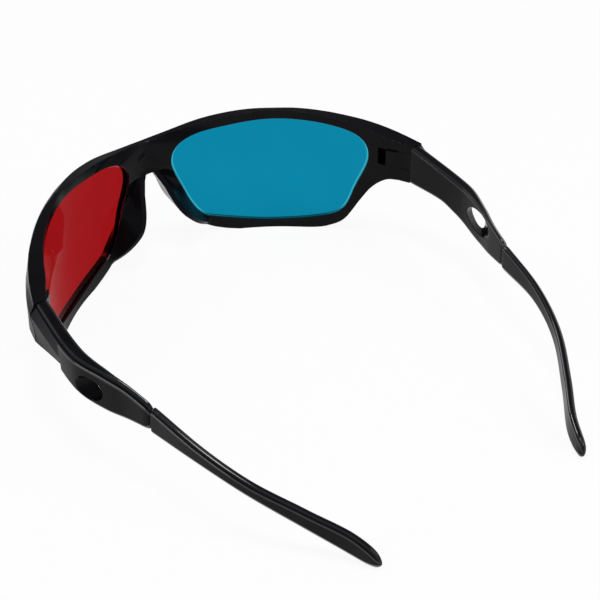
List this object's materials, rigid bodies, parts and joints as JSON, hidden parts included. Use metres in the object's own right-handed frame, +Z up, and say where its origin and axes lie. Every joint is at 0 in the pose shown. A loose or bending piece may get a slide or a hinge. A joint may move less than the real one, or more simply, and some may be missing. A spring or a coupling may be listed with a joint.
{
  "type": "3d glasses",
  "caption": "Wrap-around red and cyan 3D glasses: a one-piece moulded front with nose pads, snapped-in lenses and folding temples with strap holes and curved ear tips.",
  "frame": {"origin": "middle of the bounding box on the surface that the rims and temple tips stand on", "axes": "+X to the wearer's right, +Y forward out of the lenses, +Z up"},
  "size_m": [0.1444, 0.1648, 0.042],
  "materials": {
    "frame_plastic": "glossy",
    "panel_plastic": "fine grain",
    "tip_plastic": "satin",
    "red_lens": "polished, tinted",
    "cyan_lens": "polished, tinted",
    "screw_steel": "satin"
  },
  "bodies": {
    "frame": {"front_frame": "frame_plastic", "left_lens": "red_lens", "right_lens": "cyan_lens", "left_hinge_screw": "screw_steel", "right_hinge_screw": "screw_steel"},
    "left_arm": {"left_temple": "frame_plastic", "left_temple_tip": "tip_plastic", "left_side_plate": "panel_plastic"},
    "right_arm": {"right_temple": "frame_plastic", "right_temple_tip": "tip_plastic", "right_side_plate": "panel_plastic"}
  },
  "joints": [
    {"name": "left_fold", "type": "hinge", "parent": "frame", "child": "left_arm", "pos_m": [-0.0652, 0.03555, 0.0299], "axis": [0, 0, 1], "range_deg": [0, 80]},
    {"name": "right_fold", "type": "hinge", "parent": "frame", "child": "right_arm", "pos_m": [0.0652, 0.03555, 0.0299], "axis": [0, 0, -1], "range_deg": [0, 70]}
  ]
}
